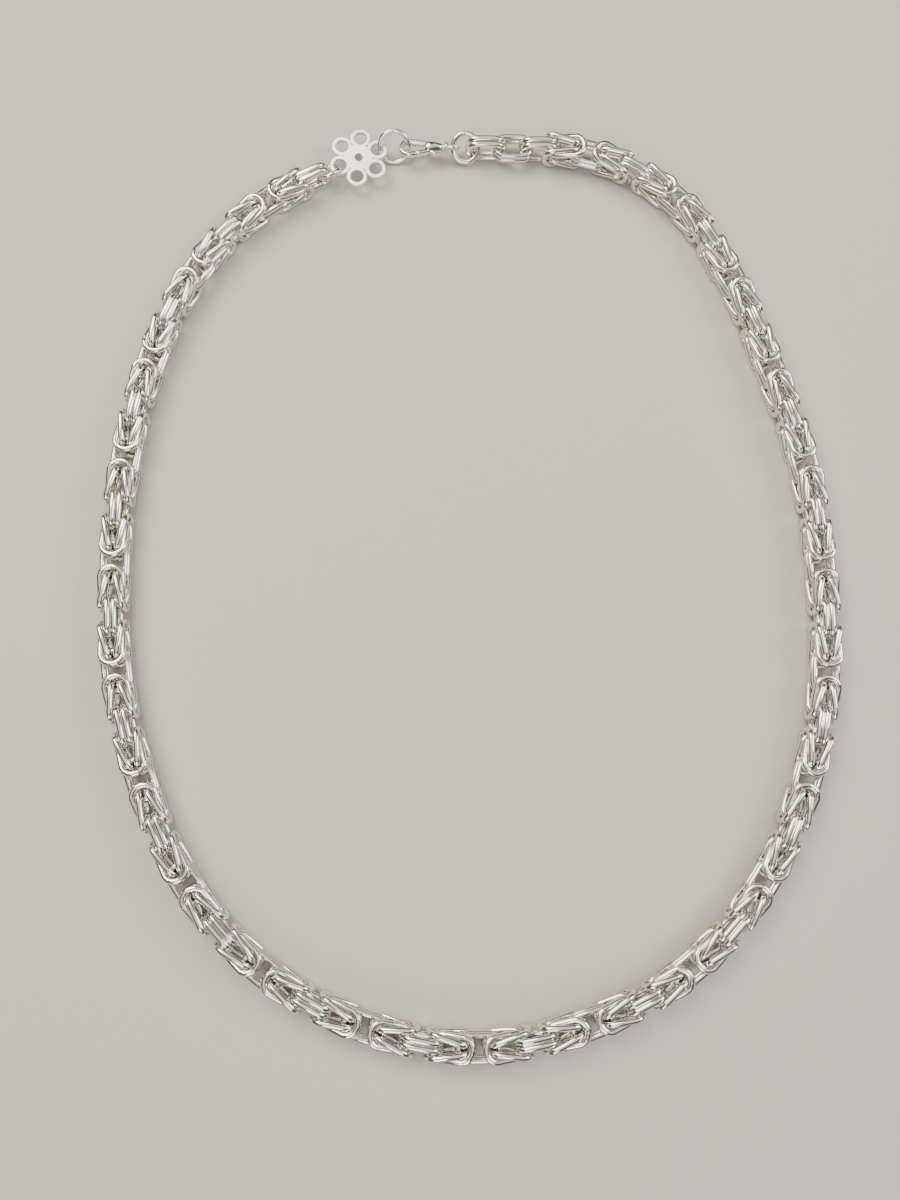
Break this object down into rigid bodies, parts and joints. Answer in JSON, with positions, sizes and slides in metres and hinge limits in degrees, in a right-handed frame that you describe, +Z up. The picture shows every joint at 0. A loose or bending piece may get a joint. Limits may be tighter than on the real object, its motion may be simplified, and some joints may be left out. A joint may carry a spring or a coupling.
{
  "type": "necklace",
  "caption": "Whole king's chain necklace of knotted oval links, closed by a lobster clasp with a sprung lever and a flat petal tag.",
  "frame": {"origin": "the middle of the necklace's bounding box in plan, on the surface that it lies on", "axes": "+X to the right, +Y towards the clasp, +Z up, away from the surface that the necklace lies on"},
  "size_m": [0.1372, 0.1765, 0.0056],
  "materials": {
    "polished_silver": "polished sterling silver",
    "satin_silver": "pale satin silver"
  },
  "bodies": {
    "necklace": {"chain": "polished_silver", "third_link_front": "polished_silver", "third_link_back": "polished_silver", "second_link_top": "polished_silver", "second_link_bottom": "polished_silver", "first_link_front": "polished_silver", "first_link_back": "polished_silver", "last_link_front": "polished_silver", "last_link_back": "polished_silver", "end_ring": "polished_silver", "tag_ring": "polished_silver", "clasp_ring": "polished_silver", "tag": "satin_silver", "clasp_body": "polished_silver", "clasp_pin": "polished_silver"},
    "lever": {"clasp_lever": "polished_silver"}
  },
  "joints": [
    {"name": "lever_hinge", "type": "hinge", "parent": "necklace", "child": "lever", "pos_m": [-0.00781, 0.08449, 0.00259], "axis": [0.0064, -0.1217, -0.9925], "range_deg": [0, 27], "stiffness_Nm_per_rad": 0.01}
  ]
}
